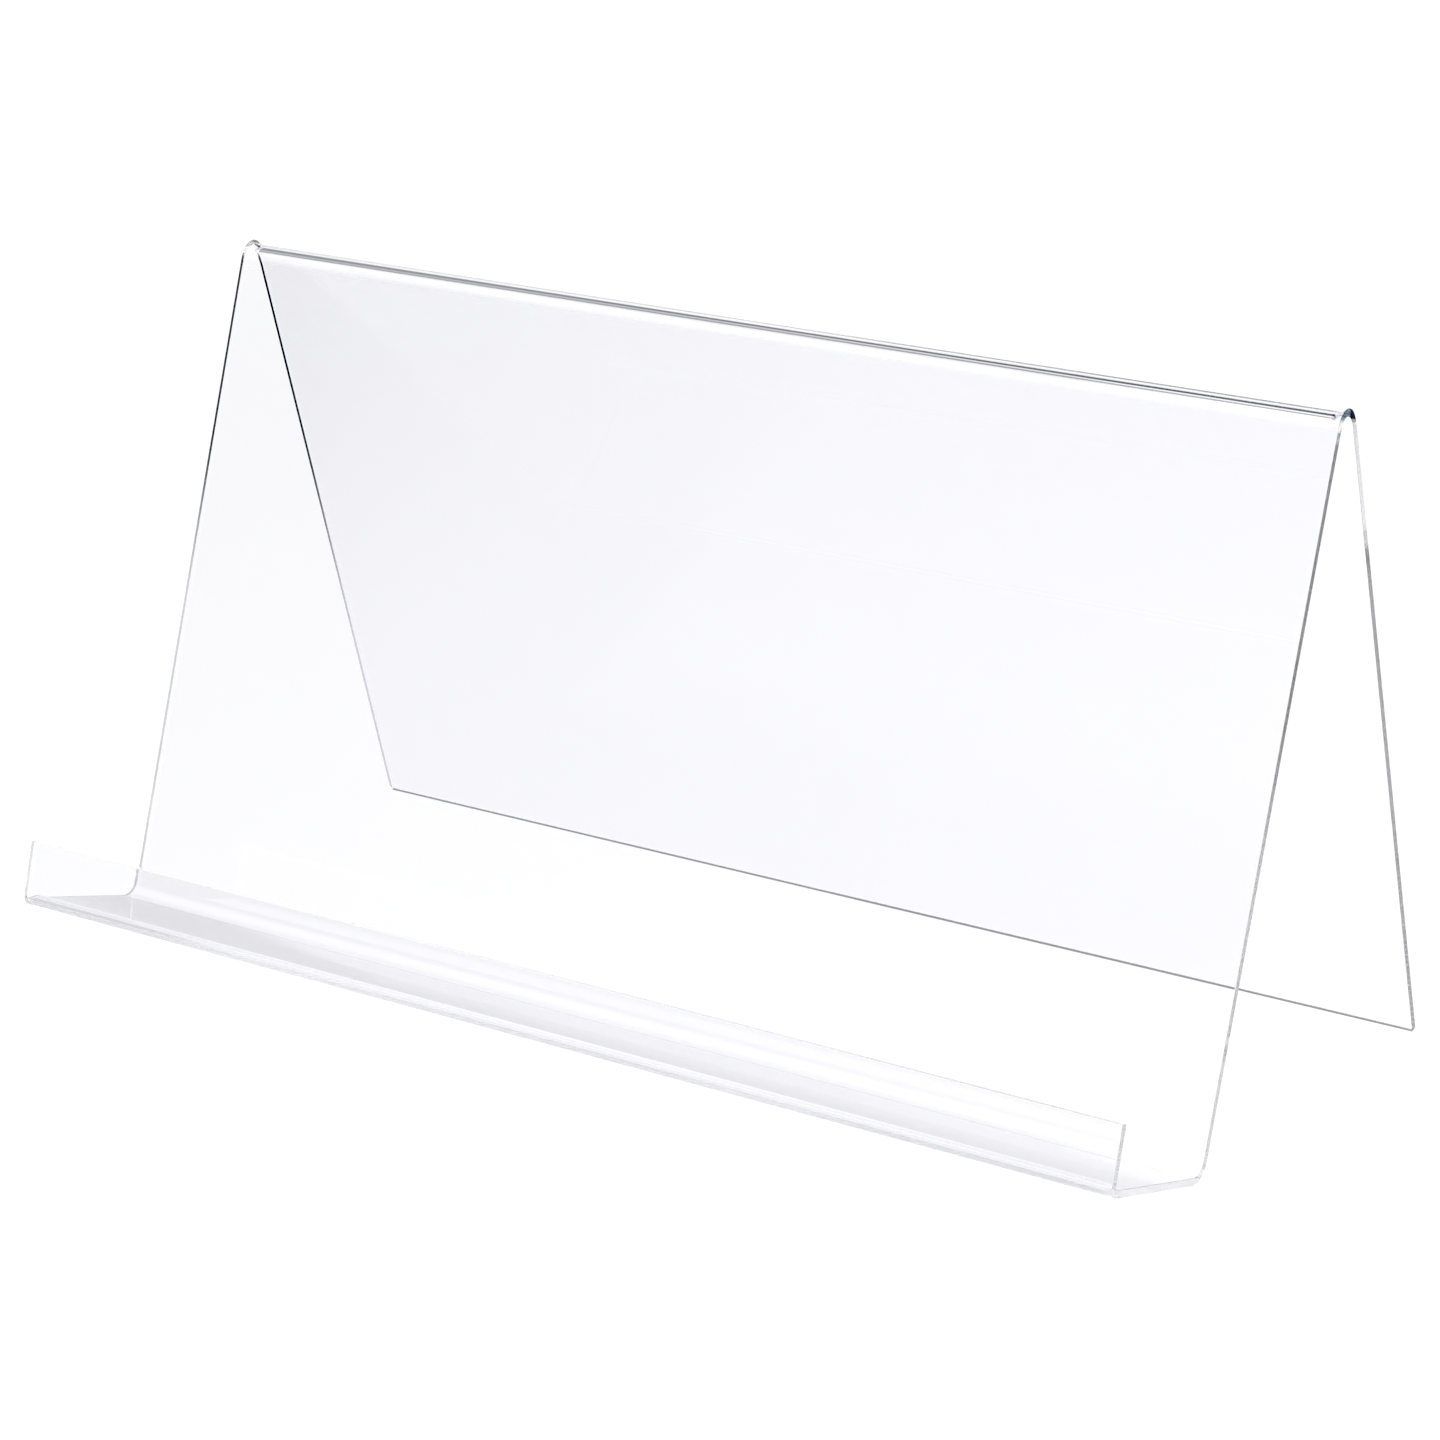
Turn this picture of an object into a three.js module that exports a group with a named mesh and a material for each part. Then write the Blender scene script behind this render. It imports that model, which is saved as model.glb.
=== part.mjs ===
// Plate display stand. It is one clear acrylic sheet with square-cut, polished edges, heated
// along three lines and folded across its whole width: a short upturned lip, a ledge that
// carries the foot of the plate, a front panel that its back leans on, and a rear leg.
// Millimetres. +X runs along the bends, +Y goes to the back and +Z is up. The origin is on
// the table, below the middle of the stand.
import * as THREE from 'three';

// The flat sheet.
const SHEET_WIDTH = 508;
const SHEET_THICKNESS = 3;

// Lengths along the middle of the sheet, between the sharp corners that the bends round off.
// The rear leg has no length of its own: it is cut off where it reaches the table.
const LIP_LENGTH = 25;
const LEDGE_LENGTH = 69;
const FRONT_PANEL_LENGTH = 293;

// Slopes against the table, in degrees. The lip leans back nearly as the front panel does,
// and the ledge rises towards the front, nearly square to them both.
const LIP_SLOPE = 74.8;
const LEDGE_SLOPE = 15.8;
const FRONT_PANEL_SLOPE = 72.8;
const REAR_LEG_SLOPE = 72.4;

// Inside radius of each bend.
const LIP_BEND_RADIUS = 2.5;
const FRONT_BEND_RADIUS = 6;
const RIDGE_BEND_RADIUS = 5;

// At both ends of a tight bend the hot sheet curls outwards into a small horn. The front bend
// has none that can be felt, so the stand rests on it along its whole length.
const LIP_BEND_END_LIFT = 0.5;
const RIDGE_END_LIFT = 1.8;
const HORN_LENGTH = 5;

const ARC_SEGMENTS = 16;
const HORN_STEPS = 3;

const radians = THREE.MathUtils.degToRad;

/** Unit vector that points DEGREES above the +Y direction, in the plane across the bends. */
function direction(degrees) {
  return new THREE.Vector2(Math.cos(radians(degrees)), Math.sin(radians(degrees)));
}

/** POINT moved by DISTANCE towards DEGREES. */
function moved(point, degrees, distance) {
  return point.clone().addScaledVector(direction(degrees), distance);
}

// The middle of the sheet is walked from the lip's top edge down, back, up and down again.
// Each heading is measured from +Y towards +Z.
const HEADINGS = [LIP_SLOPE - 180, -LEDGE_SLOPE, FRONT_PANEL_SLOPE, -REAR_LEG_SLOPE];
const BENDS = [
  { insideRadius: LIP_BEND_RADIUS, endLift: LIP_BEND_END_LIFT },
  { insideRadius: FRONT_BEND_RADIUS, endLift: 0 },
  { insideRadius: RIDGE_BEND_RADIUS, endLift: RIDGE_END_LIFT },
];

/** Sharp corners of the sheet's middle line, the front corner at zero. */
function sharpCorners() {
  const front = new THREE.Vector2(0, 0);
  const ledgeTip = moved(front, HEADINGS[1], -LEDGE_LENGTH);
  const lipTop = moved(ledgeTip, HEADINGS[0], -LIP_LENGTH);
  const apex = moved(front, HEADINGS[2], FRONT_PANEL_LENGTH);
  return [lipTop, ledgeTip, front, apex];
}

/** Centre, radius at the middle of the sheet, and start and end angles of the bend at CORNER. */
function bendArc(corner, index) {
  const turn = HEADINGS[index + 1] - HEADINGS[index];
  const side = Math.sign(turn);
  const radius = BENDS[index].insideRadius + SHEET_THICKNESS / 2;
  const inset = radius * Math.tan(radians(Math.abs(turn) / 2));
  const start = moved(corner, HEADINGS[index], -inset);
  const centre = moved(start, HEADINGS[index] + 90 * side, radius);
  return {
    centre,
    radius,
    side,
    from: HEADINGS[index] - 90 * side,
    to: HEADINGS[index + 1] - 90 * side,
    endLift: BENDS[index].endLift,
  };
}

/** Points on ARC at OFFSET to the left of the walked line. */
function arcPoints(arc, offset) {
  const points = [];
  for (let i = 0; i <= ARC_SEGMENTS; i += 1) {
    const angle = THREE.MathUtils.lerp(arc.from, arc.to, i / ARC_SEGMENTS);
    points.push(moved(arc.centre, angle, arc.radius - arc.side * offset));
  }
  return points;
}

/** Lower end of the middle line, so that the leg's lowest arris is at TABLE. */
function legEnd(apex, table) {
  const arrisDrop = (SHEET_THICKNESS / 2) * Math.cos(radians(REAR_LEG_SLOPE));
  const length = (apex.y - arrisDrop - table) / Math.sin(radians(REAR_LEG_SLOPE));
  return moved(apex, HEADINGS[3], length);
}

const corners = sharpCorners();
const arcs = [1, 2, 3].map((i) => bendArc(corners[i], i - 1));
const tableHeight = arcs[1].centre.y - FRONT_BEND_RADIUS - SHEET_THICKNESS;
const legBottom = legEnd(corners[3], tableHeight);

/** One face of the sheet, at OFFSET to the left of its middle line. */
function faceLine(offset) {
  return [
    moved(corners[0], HEADINGS[0] + 90, offset),
    ...arcs.flatMap((arc) => arcPoints(arc, offset)),
    moved(legBottom, HEADINGS[3] + 90, offset),
  ];
}

/** The sheet's section across the bends, as a closed outline. */
function sectionShape() {
  const left = faceLine(SHEET_THICKNESS / 2);
  const right = faceLine(-SHEET_THICKNESS / 2);
  return new THREE.Shape([...left, ...right.reverse()]);
}

/** Places along X where the section is repeated: close together in the horns, none between. */
function stations() {
  const end = SHEET_WIDTH / 2;
  const left = [];
  for (let i = 0; i <= HORN_STEPS; i += 1) {
    left.push(-end + (HORN_LENGTH * i) / HORN_STEPS);
  }
  return [...left, ...left.map((x) => -x).reverse()];
}

/** How far POINT of the section is lifted off its bend, for a full horn: most at mid-bend. */
function hornLift(point) {
  for (const arc of arcs) {
    const spoke = point.clone().sub(arc.centre);
    const bisector = direction((arc.from + arc.to) / 2);
    const halfTurn = radians(Math.abs(arc.to - arc.from) / 2);
    const away = Math.acos(THREE.MathUtils.clamp(spoke.dot(bisector) / spoke.length(), -1, 1));
    const onBend = Math.abs(spoke.length() - arc.radius) < SHEET_THICKNESS && away < halfTurn;
    if (onBend) {
      const share = Math.cos((Math.PI / 2) * (away / halfTurn)) ** 2;
      return spoke.setLength(arc.endLift * share);
    }
  }
  return new THREE.Vector2(0, 0);
}

/** The section drawn out along X, with the horns raised at both ends. */
function sheetGeometry() {
  const places = stations();
  const steps = places.length - 1;
  const geometry = new THREE.ExtrudeGeometry(sectionShape(), { steps, depth: steps, bevelEnabled: false });
  const position = geometry.attributes.position;
  for (let i = 0; i < position.count; i += 1) {
    const x = places[Math.round(position.getZ(i))];
    const section = new THREE.Vector2(position.getX(i), position.getY(i));
    const fromEnd = SHEET_WIDTH / 2 - Math.abs(x);
    const curl = Math.max(0, 1 - fromEnd / HORN_LENGTH) ** 2;
    section.addScaledVector(hornLift(section), curl);
    position.setXYZ(i, x, section.x, section.y);
  }
  geometry.computeVertexNormals();
  geometry.computeBoundingBox();
  const middle = geometry.boundingBox.getCenter(new THREE.Vector3());
  geometry.translate(0, -middle.y, -geometry.boundingBox.min.z);
  return geometry;
}

const clearAcrylic = new THREE.MeshStandardMaterial({
  name: 'clear_acrylic',
  color: 0xf3f3fa,
  roughness: 0.05,
  metalness: 0,
  transparent: true,
  opacity: 0.25,
});

const bentSheet = new THREE.Mesh(sheetGeometry(), clearAcrylic);
bentSheet.name = 'bent_acrylic_sheet';

const stand = new THREE.Group();
stand.add(bentSheet);

export default stand;
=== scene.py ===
"""Plate display stand: one clear acrylic sheet, line-bent three times, on a white studio table.

The sheet is rebuilt here with finely rounded arrises and smooth bends, in the frame of the CAD
part that it stands for. Lengths are in metres unless a name says otherwise.
"""

import math

import bpy
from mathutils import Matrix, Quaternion, Vector


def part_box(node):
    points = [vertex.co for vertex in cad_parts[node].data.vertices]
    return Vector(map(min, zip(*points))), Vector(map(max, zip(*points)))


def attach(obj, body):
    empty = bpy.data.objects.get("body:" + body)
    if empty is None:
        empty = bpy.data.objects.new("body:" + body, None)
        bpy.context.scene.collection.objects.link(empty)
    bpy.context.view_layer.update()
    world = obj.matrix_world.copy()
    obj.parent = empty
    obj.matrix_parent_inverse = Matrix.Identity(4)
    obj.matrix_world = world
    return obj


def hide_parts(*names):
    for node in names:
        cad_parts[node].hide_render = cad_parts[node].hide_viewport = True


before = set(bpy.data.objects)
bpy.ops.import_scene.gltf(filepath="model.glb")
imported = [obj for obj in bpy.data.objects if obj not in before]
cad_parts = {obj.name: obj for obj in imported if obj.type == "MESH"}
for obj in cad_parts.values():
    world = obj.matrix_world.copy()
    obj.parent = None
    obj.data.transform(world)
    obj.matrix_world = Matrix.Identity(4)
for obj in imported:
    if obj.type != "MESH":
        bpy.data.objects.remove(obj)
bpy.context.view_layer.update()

MM = 0.001

# The flat sheet, as in the part.
WIDTH = 508 * MM
THICKNESS = 3 * MM
HALF_THICKNESS = THICKNESS / 2

# Lengths along the middle of the sheet, between the sharp corners that the bends round off.
LIP_LENGTH = 25 * MM
LEDGE_LENGTH = 69 * MM
FRONT_PANEL_LENGTH = 293 * MM

# Slopes against the table, in degrees.
LIP_SLOPE = 74.8
LEDGE_SLOPE = 15.8
FRONT_PANEL_SLOPE = 72.8
REAR_LEG_SLOPE = 72.4

# Inside radius of each bend, and how far its outside curls up at both ends of the sheet.
LIP_BEND = {"radius": 2.5 * MM, "lift": 0.5 * MM}
FRONT_BEND = {"radius": 6 * MM, "lift": 0.0}
RIDGE_BEND = {"radius": 5 * MM, "lift": 1.8 * MM}
HORN_LENGTH = 5 * MM

# Polished cut edges keep a small round arris.
ARRIS_RADIUS = 0.2 * MM

ARC_STEPS = 40
ARRIS_STEPS = 5
HORN_STEPS = 10
FLAT_STEP = 12 * MM

HEADINGS = (LIP_SLOPE - 180, -LEDGE_SLOPE, FRONT_PANEL_SLOPE, -REAR_LEG_SLOPE)
BENDS = (LIP_BEND, FRONT_BEND, RIDGE_BEND)


def direction(degrees):
    """Unit vector across the bends, DEGREES from +Y towards +Z."""
    return Vector((math.cos(math.radians(degrees)), math.sin(math.radians(degrees))))


def sharp_corners():
    """Lip top, ledge tip, front corner and apex of the sheet's middle line."""
    front = Vector((0, 0))
    ledge_tip = front - LEDGE_LENGTH * direction(HEADINGS[1])
    lip_top = ledge_tip - LIP_LENGTH * direction(HEADINGS[0])
    apex = front + FRONT_PANEL_LENGTH * direction(HEADINGS[2])
    return lip_top, ledge_tip, front, apex


def bend_arc(corner, index):
    """The bend that rounds off CORNER, between headings INDEX and INDEX + 1."""
    turn = HEADINGS[index + 1] - HEADINGS[index]
    side = 1 if turn > 0 else -1
    radius = BENDS[index]["radius"] + HALF_THICKNESS
    inset = radius * math.tan(math.radians(abs(turn)) / 2)
    start = corner - inset * direction(HEADINGS[index])
    centre = start + radius * direction(HEADINGS[index] + 90 * side)
    return {
        "centre": centre,
        "radius": radius,
        "side": side,
        "from": HEADINGS[index] - 90 * side,
        "turn": turn,
        "lift": BENDS[index]["lift"],
    }


def walk():
    """The middle line as (point, heading, outward lift direction and share) from lip to leg."""
    corners = sharp_corners()
    arcs = [bend_arc(corners[i + 1], i) for i in range(3)]
    outside = FRONT_BEND["radius"] + THICKNESS
    table = arcs[1]["centre"].y - outside
    arris_drop = HALF_THICKNESS * math.cos(math.radians(REAR_LEG_SLOPE))
    leg_length = (corners[3].y - arris_drop - table) / math.sin(math.radians(REAR_LEG_SLOPE))
    leg_end = corners[3] + leg_length * direction(HEADINGS[3])
    line = []

    def add_flat(start, end, heading):
        steps = max(1, round((end - start).length / FLAT_STEP))
        for i in range(steps + 1):
            line.append((start.lerp(end, i / steps), heading, Vector((0, 0))))

    start = corners[0]
    for index, arc in enumerate(arcs):
        arc_start = arc["centre"] + arc["radius"] * direction(arc["from"])
        add_flat(start, arc_start, HEADINGS[index])
        for i in range(1, ARC_STEPS):
            share = i / ARC_STEPS
            angle = arc["from"] + arc["turn"] * share
            heading = HEADINGS[index] + arc["turn"] * share
            lift = arc["lift"] * math.sin(math.pi * share) ** 2
            point = arc["centre"] + arc["radius"] * direction(angle)
            line.append((point, heading, lift * direction(angle)))
        start = arc["centre"] + arc["radius"] * direction(arc["from"] + arc["turn"])
    add_flat(start, leg_end, HEADINGS[3])
    return line


def section_pairs(line, inset, curl):
    """Left and right face points along the sheet, pulled in by INSET all round at a cut end."""
    half = HALF_THICKNESS - inset
    corner_radius = ARRIS_RADIUS - inset
    pairs = []

    def add(point, heading, half_width, lift):
        across = direction(heading + 90)
        base = point + lift * curl
        pairs.append((base + half_width * across, base - half_width * across))

    def add_cut_edge(point, heading, away, order):
        """Rounded arrises of the lip's top edge or the leg's bottom edge."""
        for step in order:
            angle = math.pi / 2 * step / ARRIS_STEPS
            along = -inset - corner_radius * (1 - math.sin(angle))
            half_width = half - corner_radius * (1 - math.cos(angle))
            add(point + away * along, heading, half_width, Vector((0, 0)))

    first, last = line[0], line[-1]
    add_cut_edge(first[0], first[1], -direction(first[1]), range(ARRIS_STEPS, -1, -1))
    for point, heading, lift in line[1:-1]:
        add(point, heading, half, lift)
    add_cut_edge(last[0], last[1], direction(last[1]), range(ARRIS_STEPS + 1))
    return pairs


def end_stations():
    """(distance from the cut end, inset) pairs, from the end face inwards through the horn."""
    stations = []
    for step in range(ARRIS_STEPS, -1, -1):
        angle = math.pi / 2 * step / ARRIS_STEPS
        stations.append((ARRIS_RADIUS * (1 - math.sin(angle)), ARRIS_RADIUS * (1 - math.cos(angle))))
    for step in range(1, HORN_STEPS + 1):
        stations.append((ARRIS_RADIUS + (HORN_LENGTH - ARRIS_RADIUS) * step / HORN_STEPS, 0.0))
    return stations


def sheet_mesh():
    """The bent sheet as one closed skin of quads."""
    line = walk()
    ends = end_stations()
    places = [(-WIDTH / 2 + away, away, inset) for away, inset in ends]
    inner = WIDTH - 2 * HORN_LENGTH
    spans = round(inner / (4 * FLAT_STEP))
    places += [(-inner / 2 + inner * i / spans, HORN_LENGTH, 0.0) for i in range(1, spans)]
    places += [(WIDTH / 2 - away, away, inset) for away, inset in reversed(ends)]
    vertices, faces, rings, cut = [], [], [], []
    for x, away, inset in places:
        curl = max(0.0, 1 - away / HORN_LENGTH) ** 2
        pairs = section_pairs(line, inset, curl)
        ring = [left for left, right in pairs] + [right for left, right in reversed(pairs)]
        rings.append(len(vertices))
        vertices += [(x, point.x, point.y) for point in ring]
        edge_points = (*range(ARRIS_STEPS + 1), *range(len(pairs) - ARRIS_STEPS - 1, len(pairs)))
        for i in range(len(ring)):
            pair = i if i < len(pairs) else len(ring) - 1 - i
            cut.append(1.0 if away < ARRIS_RADIUS * 0.9 or pair in edge_points[1:-1] else 0.0)
    count = len(vertices) // len(places)
    for start, following in zip(rings, rings[1:]):
        for i in range(count):
            j = (i + 1) % count
            faces.append((start + i, following + i, following + j, start + j))
    half_count = count // 2
    for start, flipped in ((rings[0], False), (rings[-1], True)):
        for i in range(half_count - 1):
            quad = (start + i, start + i + 1, start + count - 2 - i, start + count - 1 - i)
            faces.append(quad[::-1] if flipped else quad)
    mesh = bpy.data.meshes.new("bent_sheet")
    mesh.from_pydata(vertices, [], faces)
    mesh.attributes.new("cut_edge", "FLOAT", "POINT").data.foreach_set("value", cut)
    mesh.update()
    return mesh


def set_in_frame(mesh):
    """Moves the mesh so that it stands where the CAD sheet stands."""
    lows = [min(v.co[axis] for v in mesh.vertices) for axis in range(3)]
    highs = [max(v.co[axis] for v in mesh.vertices) for axis in range(3)]
    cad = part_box("bent_acrylic_sheet")
    shift = Vector((
        (cad[0][0] + cad[1][0] - lows[0] - highs[0]) / 2,
        (cad[0][1] + cad[1][1] - lows[1] - highs[1]) / 2,
        cad[0][2] - lows[2],
    ))
    for vertex in mesh.vertices:
        vertex.co += shift


def add_node(tree, kind, settings=None, inputs=None):
    """A new node with plain settings, and values or links for its inputs."""
    node = tree.nodes.new(kind)
    for name, value in (settings or {}).items():
        setattr(node, name, value)
    for name, value in (inputs or {}).items():
        if isinstance(value, bpy.types.NodeSocket):
            tree.links.new(value, node.inputs[name])
        else:
            node.inputs[name].default_value = value
    return node


def blend(tree, factor, low, high):
    """A number that goes from LOW to HIGH with FACTOR."""
    inputs = {"Value": factor, "To Min": low, "To Max": high}
    return add_node(tree, "ShaderNodeMapRange", None, inputs).outputs["Result"]


# Sockets of the Mix node when it mixes colours.
MIX_FIRST, MIX_SECOND, MIX_RESULT = 6, 7, 2


def blend_colours(tree, factor, first, second):
    """A colour that goes from FIRST to SECOND with FACTOR."""
    inputs = {"Factor": factor, MIX_FIRST: first, MIX_SECOND: second}
    return add_node(tree, "ShaderNodeMix", {"data_type": "RGBA"}, inputs).outputs[MIX_RESULT]


def smooth_step(tree, value, limits, results=(0.0, 1.0)):
    """A number that goes smoothly between RESULTS as VALUE goes between LIMITS."""
    inputs = {"Value": value, "From Min": limits[0], "From Max": limits[1]}
    inputs |= {"To Min": results[0], "To Max": results[1]}
    settings = {"interpolation_type": "SMOOTHSTEP"}
    return add_node(tree, "ShaderNodeMapRange", settings, inputs).outputs["Result"]


def calculate(tree, operation, first, second):
    """FIRST and SECOND combined by a Math node."""
    inputs = {0: first, 1: second}
    return add_node(tree, "ShaderNodeMath", {"operation": operation}, inputs).outputs["Value"]


def times(tree, first, second):
    """FIRST times SECOND."""
    return calculate(tree, "MULTIPLY", first, second)


# Flat faces, then cut edges.
FACE_ROUGHNESS = (0.0, 0.006)
EDGE_ROUGHNESS = (0.01, 0.05)
FACE_TINTS = ((0.988, 0.988, 0.998, 1), (0.980, 0.980, 0.997, 1))
EDGE_TINT = (0.985, 0.985, 0.99, 1)
RELIEF_DEPTH = 0.01 * MM
RELIEF_STRENGTH = (0.15, 1.0)

# The painted shade on the ridge's ends, a dark base colour that stands in for light trapped in the
# bend: front and rear colour. It starts at a height that is measured as Z plus a share of Y, so it
# reaches lower on the rear side than on the front side.
RIDGE_END_SLANT = 0.25
RIDGE_END_Z = (0.2703, 0.2723)
RIDGE_END_Y = (0.0320, 0.0345)
RIDGE_END_PAINTED_SHADES = ((0.05, 0.095, 0.15, 1), (0.0, 0.0, 0.001, 1))

# Acrylic seen through a long way of its own stuff is a cool grey.
ACRYLIC_DEPTH_COLOUR = (0.93, 0.93, 0.938, 1)
ACRYLIC_DEPTH_DENSITY = 2.5


def acrylic_material():
    """Cast acrylic: glossy faces, faintly uneven, finely sawn and polished cut edges, and painted shade
    on the ridge's ends.
    """
    material = bpy.data.materials.new("clear_acrylic")
    material.use_nodes = True
    tree = material.node_tree
    shader = tree.nodes["Principled BSDF"]
    shader.inputs["IOR"].default_value = 1.49
    shader.inputs["Transmission Weight"].default_value = 1.0
    place = add_node(tree, "ShaderNodeTexCoord").outputs["Object"]
    cut = add_node(tree, "ShaderNodeAttribute", {"attribute_name": "cut_edge"}).outputs["Fac"]

    # Slow waves left by casting, and a cloudy film of polish.
    waves = add_node(tree, "ShaderNodeTexNoise", None, {"Vector": place, "Scale": 9.0, "Detail": 1.0})
    film = add_node(tree, "ShaderNodeTexNoise", None, {"Vector": place, "Scale": 60.0, "Detail": 4.0})
    # Saw marks across the thickness of the cut edges.
    marks = add_node(tree, "ShaderNodeTexNoise", None, {"Vector": place, "Scale": 900.0, "Detail": 2.0})

    face_gloss = blend(tree, film.outputs["Fac"], *FACE_ROUGHNESS)
    edge_gloss = blend(tree, marks.outputs["Fac"], *EDGE_ROUGHNESS)
    gloss = add_node(tree, "ShaderNodeMix", None, {"Factor": cut, "A": face_gloss, "B": edge_gloss})
    tree.links.new(gloss.outputs["Result"], shader.inputs["Roughness"])

    face_tint = blend_colours(tree, film.outputs["Fac"], *FACE_TINTS)
    tint = blend_colours(tree, cut, face_tint, EDGE_TINT)

    # The ends of the ridge are painted dark: painted shade in the base colour, standing in for light
    # that is trapped in the bend.
    along = add_node(tree, "ShaderNodeSeparateXYZ", None, {"Vector": place})
    inputs = {0: along.outputs["Y"], 1: RIDGE_END_SLANT, 2: along.outputs["Z"]}
    height = add_node(tree, "ShaderNodeMath", {"operation": "MULTIPLY_ADD"}, inputs).outputs["Value"]
    painted_shade_mask = times(tree, smooth_step(tree, height, RIDGE_END_Z), cut)
    rear = smooth_step(tree, along.outputs["Y"], RIDGE_END_Y)
    painted_shade = blend_colours(tree, rear, *RIDGE_END_PAINTED_SHADES)
    tree.links.new(blend_colours(tree, painted_shade_mask, tint, painted_shade), shader.inputs["Base Color"])

    inputs = {"Factor": cut, "A": waves.outputs["Fac"], "B": marks.outputs["Fac"]}
    relief = add_node(tree, "ShaderNodeMix", None, inputs).outputs["Result"]
    strength = blend(tree, cut, *RELIEF_STRENGTH)
    inputs = {"Height": relief, "Distance": RELIEF_DEPTH, "Strength": strength}
    bump = add_node(tree, "ShaderNodeBump", None, inputs)
    tree.links.new(bump.outputs["Normal"], shader.inputs["Normal"])

    inputs = {"Color": ACRYLIC_DEPTH_COLOUR, "Density": ACRYLIC_DEPTH_DENSITY}
    inside = add_node(tree, "ShaderNodeVolumeAbsorption", None, inputs)
    tree.links.new(inside.outputs["Volume"], tree.nodes["Material Output"].inputs["Volume"])
    return material


def make_sheet():
    mesh = sheet_mesh()
    set_in_frame(mesh)
    sheet = bpy.data.objects.new("bent_sheet", mesh)
    bpy.context.scene.collection.objects.link(sheet)
    mesh.materials.append(acrylic_material())
    mesh.shade_smooth()
    weighted = sheet.modifiers.new("even_normals", "WEIGHTED_NORMAL")
    weighted.mode = "FACE_AREA"
    weighted.weight = 100
    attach(sheet, "root")
    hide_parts("bent_acrylic_sheet")
    sheet.visible_shadow = False
    sheet.visible_diffuse = False
    return sheet


# Studio: a white table in a white room. Dark flags, and a painted shade on the table, are met only by
# mirrored light.
TABLE_RADIUS = 2.0
TABLE_SIDES = 96
TABLE_ROUGHNESS = 0.5
TABLE_SPECULAR = 0.1

# Distances from the middle over which the table fades out, seen directly and mirrored.
TABLE_FADE = (0.4, 1.95)
TABLE_MIRRORED_FADE = (0.28, 0.62)

# The table's white, seen directly and mirrored. Mirrored light meets a painted shade: the white is
# darker only behind the front bend and at the left, and the change takes place between these limits.
TABLE_WHITE = 0.86
TABLE_MIRRORED = 0.67
PAINTED_SHADE_BEHIND = (0.0, 0.08)
PAINTED_SHADE_LEFT = (-0.16, -0.21)

# Limits for how often light has been mirrored. Faces and thin lines show light mirrored once or
# twice. Cut edges show light led along the sheet, which is mirrored many times.
ONCE = (0.5, 1.5)
NEAR = (0.5, 2.5)
OFTEN = (2.5, 20.5)
LED = (20.5, 1000.0)
EVER = (0.5, 1000.0)


def mirrored_between(tree, limits):
    """1 for light that has been mirrored a number of times between LIMITS, else 0."""
    count = add_node(tree, "ShaderNodeLightPath").outputs["Glossy Depth"]
    above = calculate(tree, "GREATER_THAN", count, limits[0])
    below = calculate(tree, "LESS_THAN", count, limits[1])
    return times(tree, above, below)


def table_material():
    material = bpy.data.materials.new("white_table")
    material.use_nodes = True
    tree = material.node_tree
    shader = tree.nodes["Principled BSDF"]
    shader.inputs["Roughness"].default_value = TABLE_ROUGHNESS
    shader.inputs["Specular IOR Level"].default_value = TABLE_SPECULAR
    place = add_node(tree, "ShaderNodeTexCoord").outputs["Object"]

    inputs = {"Vector": place}
    distance = add_node(tree, "ShaderNodeVectorMath", {"operation": "LENGTH"}, inputs).outputs["Value"]
    direct = smooth_step(tree, distance, TABLE_FADE, (1.0, 0.0))
    mirrored = smooth_step(tree, distance, TABLE_MIRRORED_FADE, (1.0, 0.0))
    cover = blend(tree, mirrored_between(tree, EVER), direct, mirrored)
    tree.links.new(cover, shader.inputs["Alpha"])

    # Painted shade: for mirrored light, the table's white is darkened behind the front bend and at the
    # left.
    along = add_node(tree, "ShaderNodeSeparateXYZ", None, {"Vector": place})
    behind = smooth_step(tree, along.outputs["Y"], PAINTED_SHADE_BEHIND)
    left = smooth_step(tree, along.outputs["X"], PAINTED_SHADE_LEFT)
    painted_table_shade = times(tree, calculate(tree, "MAXIMUM", behind, left), mirrored_between(tree, NEAR))
    tree.links.new(blend(tree, painted_table_shade, TABLE_WHITE, TABLE_MIRRORED), shader.inputs["Base Color"])
    return material


def make_table():
    """White table that melts into the backdrop at its rim."""
    bpy.ops.mesh.primitive_circle_add(vertices=TABLE_SIDES, radius=TABLE_RADIUS, fill_type="NGON")
    table = bpy.context.object
    table.name = "studio_table"
    table.data.materials.append(table_material())


def compass(azimuth, elevation):
    """Unit vector AZIMUTH degrees from +Y towards +X and ELEVATION degrees up."""
    a, e = math.radians(azimuth), math.radians(elevation)
    return (math.sin(a) * math.cos(e), math.cos(a) * math.cos(e), math.sin(e))


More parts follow.
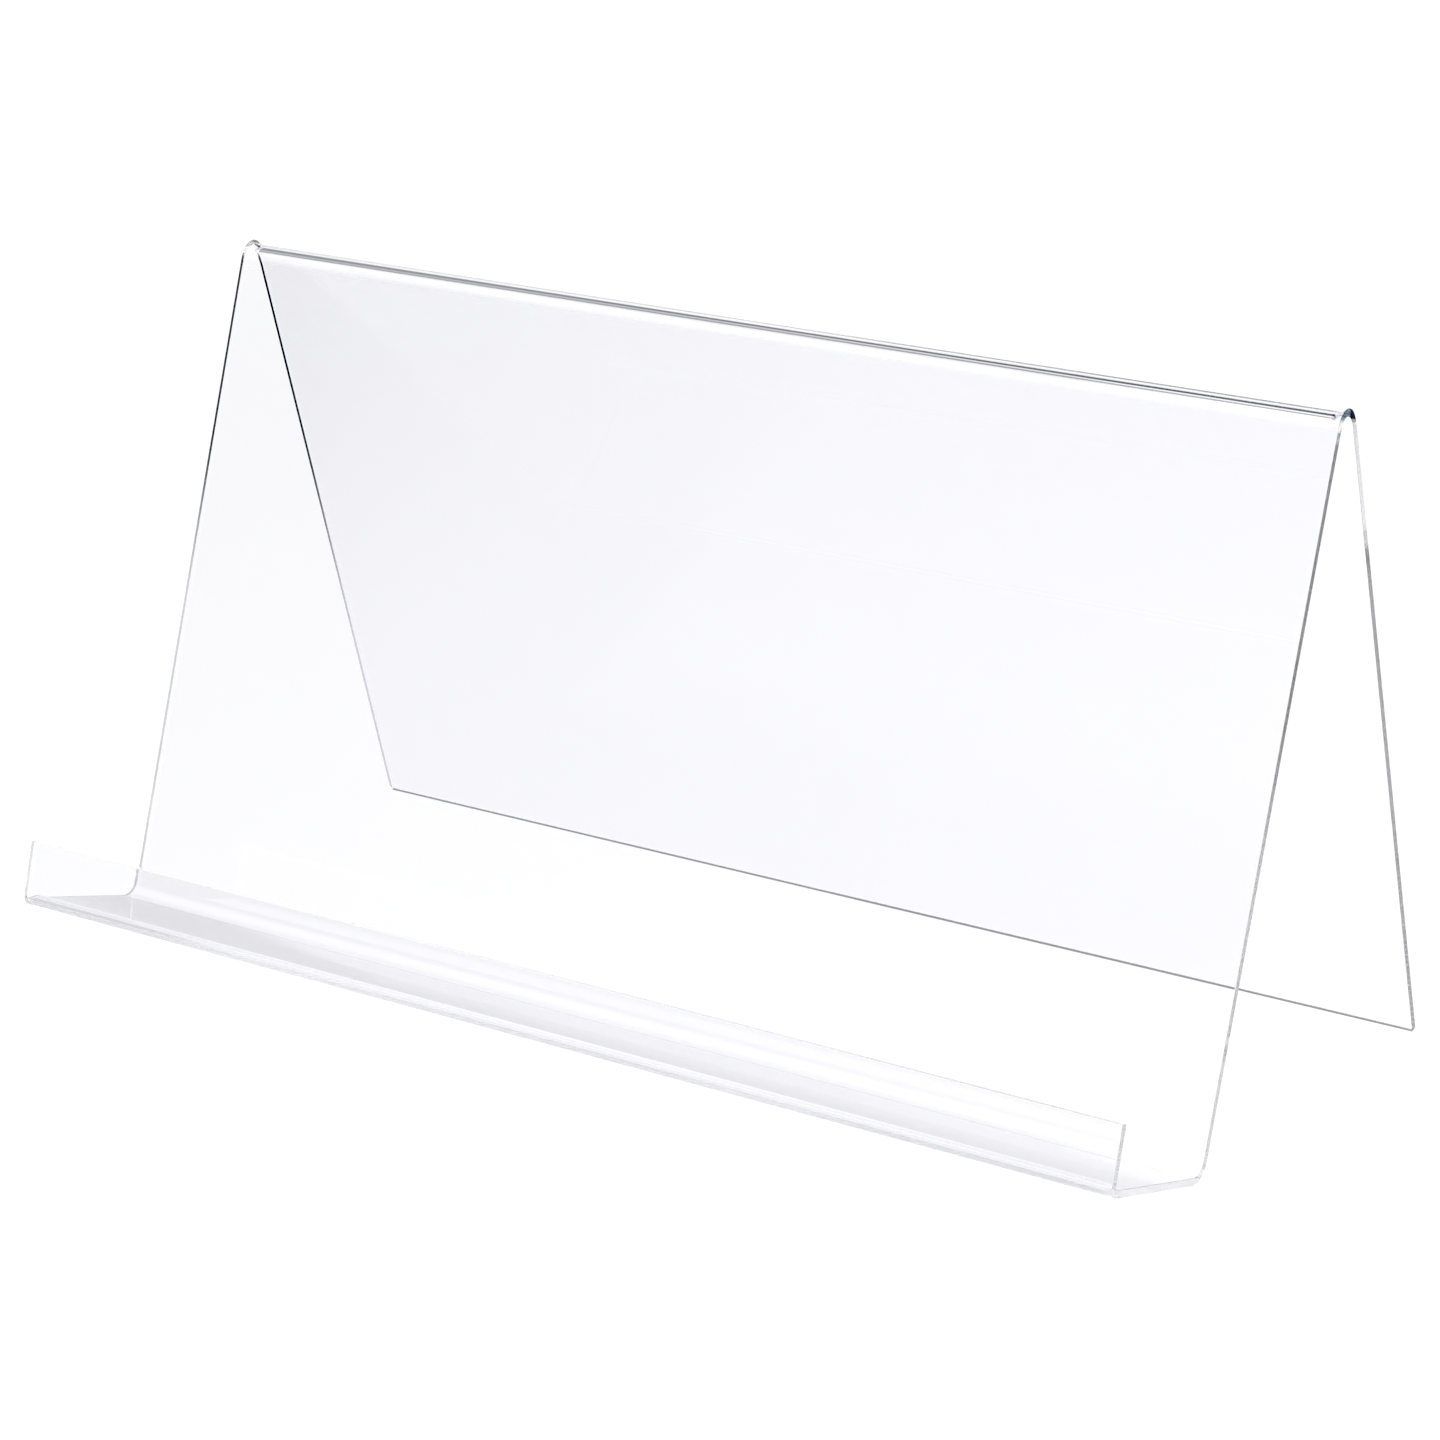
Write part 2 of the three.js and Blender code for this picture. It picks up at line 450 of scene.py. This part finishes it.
# Dark flags: direction, inner and outer angle, colour, and which light meets them.
ROOM_FLAGS = (
    {"at": (41, -14), "inner": 9, "outer": 16, "colour": (0.002, 0.004, 0.008), "mirrored": NEAR},
    {"at": (-136, 12), "inner": 3, "outer": 29, "colour": (0.02, 0.02, 0.025), "mirrored": ONCE},
    {"at": (-44, 17), "inner": 8, "outer": 18, "colour": (0.30, 0.30, 0.32), "mirrored": NEAR},
    {"at": (-20, 16), "inner": 7, "outer": 18, "colour": (0.01, 0.012, 0.018), "mirrored": NEAR},
    {"at": (-50, 46), "inner": 9, "outer": 18, "colour": (0.35, 0.35, 0.37), "mirrored": ONCE},
    {"at": (180, 17), "inner": 5, "outer": 18, "colour": (0.25, 0.25, 0.27), "mirrored": ONCE},
    {"at": (0, -15), "inner": 9, "outer": 17, "colour": (0.10, 0.10, 0.12), "mirrored": NEAR},
    {"at": (90, -16), "inner": 12, "outer": 24, "colour": (0.25, 0.25, 0.27), "mirrored": OFTEN},
    {"at": (-131, -45), "inner": 14, "outer": 28, "colour": (0.02, 0.025, 0.03), "mirrored": NEAR},
    {"at": (-50, 46), "inner": 9, "outer": 18, "colour": (0.02, 0.025, 0.03), "mirrored": LED},
    {"at": (-112, 56), "inner": 12, "outer": 26, "colour": (0.01, 0.015, 0.022), "mirrored": LED},
    {"at": (-25, -18), "inner": 4, "outer": 8, "colour": (0.05, 0.05, 0.055), "mirrored": LED},
    {"at": (-140, 12), "inner": 8, "outer": 24, "colour": (0.05, 0.05, 0.055), "mirrored": LED},
)
BACKDROP = (1.075, 1.075, 1.08, 1)


def opposite(flags):
    """All but the LED flags again, half a turn round, for the stand seen from behind."""
    again = [flag for flag in flags if flag["mirrored"] != LED]
    return tuple({**flag, "at": (flag["at"][0] + 180, flag["at"][1])} for flag in again)


def make_room():
    world = bpy.data.worlds.new("studio")
    bpy.context.scene.world = world
    world.use_nodes = True
    tree = world.node_tree
    place = add_node(tree, "ShaderNodeTexCoord").outputs["Generated"]
    colour = BACKDROP
    for flag in ROOM_FLAGS + opposite(ROOM_FLAGS):
        inputs = {0: place, 1: compass(*flag["at"])}
        towards = add_node(tree, "ShaderNodeVectorMath", {"operation": "DOT_PRODUCT"}, inputs)
        inputs = {
            "Value": towards.outputs["Value"],
            "From Min": math.cos(math.radians(flag["outer"])),
            "From Max": math.cos(math.radians(flag["inner"])),
        }
        mask = add_node(tree, "ShaderNodeMapRange", None, inputs).outputs["Result"]
        factor = times(tree, mask, mirrored_between(tree, flag["mirrored"]))
        colour = blend_colours(tree, factor, colour, (*flag["colour"], 1))
    tree.links.new(colour, tree.nodes["Background"].inputs["Color"])


def make_light():
    lamp = bpy.data.lights.new("overhead_softbox", "AREA")
    lamp.shape = "RECTANGLE"
    lamp.size = 2.0
    lamp.size_y = 2.0
    lamp.energy = 14
    light = bpy.data.objects.new("overhead_softbox", lamp)
    light.location = (0.1, 0.2, 2.2)
    bpy.context.scene.collection.objects.link(light)


# The camera looks from the right front, a little down.
CAMERA_AZIMUTH = 34.11
CAMERA_ELEVATION = 17.87
CAMERA_ROLL = 0.42
CAMERA_DISTANCE = 1.6826
CAMERA_AIM = Vector((0.00567, 0.00103, 0.11279))
CAMERA_LENS = 107.17


def make_camera():
    data = bpy.data.cameras.new("camera")
    data.lens = CAMERA_LENS
    data.sensor_width = 36
    camera = bpy.data.objects.new("camera", data)
    bpy.context.scene.collection.objects.link(camera)
    a, e = math.radians(CAMERA_AZIMUTH), math.radians(CAMERA_ELEVATION)
    back = Vector((math.sin(a) * math.cos(e), -math.cos(a) * math.cos(e), math.sin(e)))
    camera.location = CAMERA_AIM + CAMERA_DISTANCE * back
    camera.rotation_mode = "QUATERNION"
    roll = Quaternion(back, math.radians(CAMERA_ROLL))
    camera.rotation_quaternion = roll @ (-back).to_track_quat("-Z", "Y")
    bpy.context.scene.camera = camera


# Product pictures are graded until their shadows are black.
BLACK_LEVEL = 0.10

# Light crosses the whole width inside the sheet, mirrored more than a hundred times.
MAX_BOUNCES = 400

scene = bpy.context.scene
scene.view_settings.view_transform = "Standard"
scene.view_settings.use_curve_mapping = True
scene.view_settings.curve_mapping.black_level = (BLACK_LEVEL,) * 3
make_camera()
make_sheet()
make_table()
make_room()
make_light()
scene.cycles.max_bounces = MAX_BOUNCES
scene.cycles.transmission_bounces = MAX_BOUNCES
scene.cycles.glossy_bounces = MAX_BOUNCES
